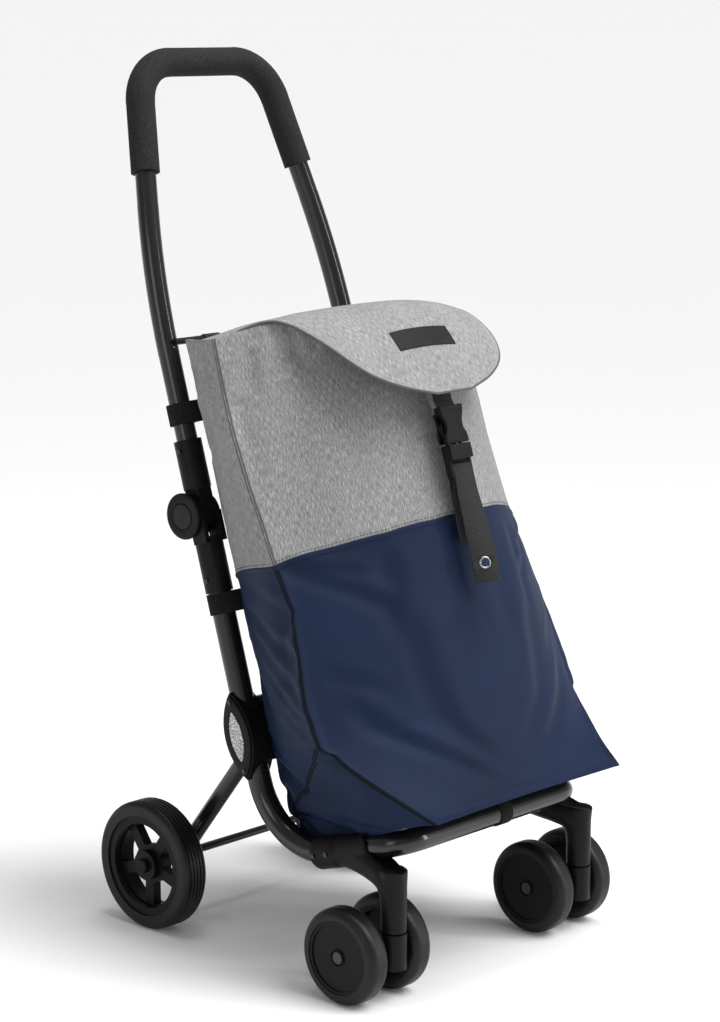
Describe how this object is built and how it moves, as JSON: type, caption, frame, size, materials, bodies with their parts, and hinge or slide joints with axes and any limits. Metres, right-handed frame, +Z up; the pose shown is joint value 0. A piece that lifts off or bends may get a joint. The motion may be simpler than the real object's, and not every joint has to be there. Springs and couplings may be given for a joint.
{
  "type": "shopping trolley on wheels",
  "caption": "Folding shopping trolley: leaning tubular frame, foam-grip handle, soft bag with buckled flap, twin-wheel swivel casters in front and spoked wheels on folding legs behind.",
  "frame": {"origin": "on the floor under the middle of the whole trolley's box", "axes": "+Z up from the floor, -Y towards the front of the bag, +X to the right seen from in front with the handle behind, that is towards the side called right"},
  "size_m": [0.444, 0.5397, 1.0551],
  "materials": {
    "black_tube": "semi-gloss powder coat",
    "black_plastic": "fine-grained matte moulding",
    "foam": "fine closed-cell foam",
    "tyre_rubber": "satin rubber",
    "grey_fabric": "heather woven polyester",
    "navy_fabric": "smooth coated polyester",
    "black_webbing": "ribbed nylon",
    "reflector": "honeycomb reflective",
    "steel": "zinc plated",
    "chrome_eyelet": "polished"
  },
  "bodies": {
    "frame": {"main_tube_left": "black_tube", "main_tube_right": "black_tube", "front_cross_tube": "black_tube", "support_wire": "black_tube", "hinge_lower_casing_left": "black_plastic", "hinge_lower_casing_right": "black_plastic", "hinge_pins": "steel", "hinge_covers": "black_plastic", "leg_housing_left": "black_plastic", "leg_housing_right": "black_plastic", "reflector_lenses": "reflector", "leg_pivot_pins": "steel", "caster_bracket_left": "black_plastic", "caster_bracket_right": "black_plastic", "frame_screws": "steel", "lower_straps": "black_webbing", "base_strap": "black_webbing", "bag_upper_panel": "grey_fabric", "bag_lower_panel": "navy_fabric", "bag_base_board": "black_plastic", "buckle_anchor_webbing": "black_webbing", "button_spring_left": "steel", "button_spring_right": "steel"},
    "handle": {"handle_tube": "black_tube", "foam_grip": "foam", "hang_rod": "black_tube", "hinge_upper_casing_left": "black_plastic", "hinge_upper_casing_right": "black_plastic", "casing_rivets": "steel", "upper_straps": "black_webbing", "hang_loops": "black_webbing"},
    "button_left": {"release_button_left": "black_plastic"},
    "button_right": {"release_button_right": "black_plastic"},
    "rear_legs": {"rear_leg_left": "black_tube", "rear_leg_right": "black_tube", "rear_axle": "black_tube", "axle_caps": "black_plastic"},
    "rear_wheel_left": {"rear_rim_left": "black_plastic", "rear_tyre_left": "tyre_rubber"},
    "rear_wheel_right": {"rear_rim_right": "black_plastic", "rear_tyre_right": "tyre_rubber"},
    "caster_left": {"caster_fork_left": "black_plastic", "caster_axle_left": "steel"},
    "caster_right": {"caster_fork_right": "black_plastic", "caster_axle_right": "steel"},
    "flap": {"flap": "grey_fabric", "flap_patch": "black_plastic", "flap_webbing": "black_webbing", "buckle_female": "black_plastic"},
    "buckle": {"buckle_male": "black_plastic", "strap_tail": "black_webbing", "eyelet": "chrome_eyelet"},
    "front_wheel_left_outer": {"front_hub_left_outer": "black_plastic", "front_tyre_left_outer": "tyre_rubber"},
    "front_wheel_left_inner": {"front_hub_left_inner": "black_plastic", "front_tyre_left_inner": "tyre_rubber"},
    "front_wheel_right_outer": {"front_hub_right_outer": "black_plastic", "front_tyre_right_outer": "tyre_rubber"},
    "front_wheel_right_inner": {"front_hub_right_inner": "black_plastic", "front_tyre_right_inner": "tyre_rubber"}
  },
  "joints": [
    {"name": "handle_fold", "type": "hinge", "parent": "frame", "child": "handle", "pos_m": [0, 0.10853, 0.51601], "axis": [1, 0, 0], "range_deg": [-140, 0]},
    {"name": "button_press_left", "type": "slide", "parent": "frame", "child": "button_left", "axis": [1, 0, 0], "range_m": [0, 0.004], "stiffness_N_per_m": 400, "springref_m": -0.002, "deforming": ["button_spring_left"]},
    {"name": "button_press_right", "type": "slide", "parent": "frame", "child": "button_right", "axis": [-1, 0, 0], "range_m": [0, 0.004], "stiffness_N_per_m": 400, "springref_m": -0.002, "deforming": ["button_spring_right"]},
    {"name": "leg_fold", "type": "hinge", "parent": "frame", "child": "rear_legs", "pos_m": [0, 0.02089, 0.26563], "axis": [1, 0, 0], "range_deg": [-50, 0]},
    {"name": "rear_wheel_spin_left", "type": "hinge", "parent": "rear_legs", "child": "rear_wheel_left", "pos_m": [-0.1733, 0.1698, 0.079], "axis": [1, 0, 0], "continuous": true},
    {"name": "rear_wheel_spin_right", "type": "hinge", "parent": "rear_legs", "child": "rear_wheel_right", "pos_m": [0.1733, 0.1698, 0.079], "axis": [1, 0, 0], "continuous": true},
    {"name": "caster_swivel_left", "type": "hinge", "parent": "frame", "child": "caster_left", "pos_m": [-0.1654, -0.2198, 0.1], "axis": [0, 0, 1], "continuous": true},
    {"name": "front_wheel_spin_left_outer", "type": "hinge", "parent": "caster_left", "child": "front_wheel_left_outer", "pos_m": [-0.201, -0.1791, 0.056], "axis": [1, 0, 0], "continuous": true},
    {"name": "front_wheel_spin_left_inner", "type": "hinge", "parent": "caster_left", "child": "front_wheel_left_inner", "pos_m": [-0.1298, -0.1791, 0.056], "axis": [1, 0, 0], "continuous": true},
    {"name": "caster_swivel_right", "type": "hinge", "parent": "frame", "child": "caster_right", "pos_m": [0.1654, -0.2198, 0.1], "axis": [0, 0, 1], "continuous": true},
    {"name": "front_wheel_spin_right_outer", "type": "hinge", "parent": "caster_right", "child": "front_wheel_right_outer", "pos_m": [0.201, -0.1791, 0.056], "axis": [1, 0, 0], "continuous": true},
    {"name": "front_wheel_spin_right_inner", "type": "hinge", "parent": "caster_right", "child": "front_wheel_right_inner", "pos_m": [0.1298, -0.1791, 0.056], "axis": [1, 0, 0], "continuous": true},
    {"name": "flap_open", "type": "hinge", "parent": "frame", "child": "flap", "pos_m": [0, 0.13037, 0.71408], "axis": [1, 0, 0], "range_deg": [-75, 0]},
    {"name": "buckle_release", "type": "slide", "parent": "frame", "child": "buckle", "axis": [0, -0.2874, -0.9578], "range_m": [0, 0.03]}
  ]
}
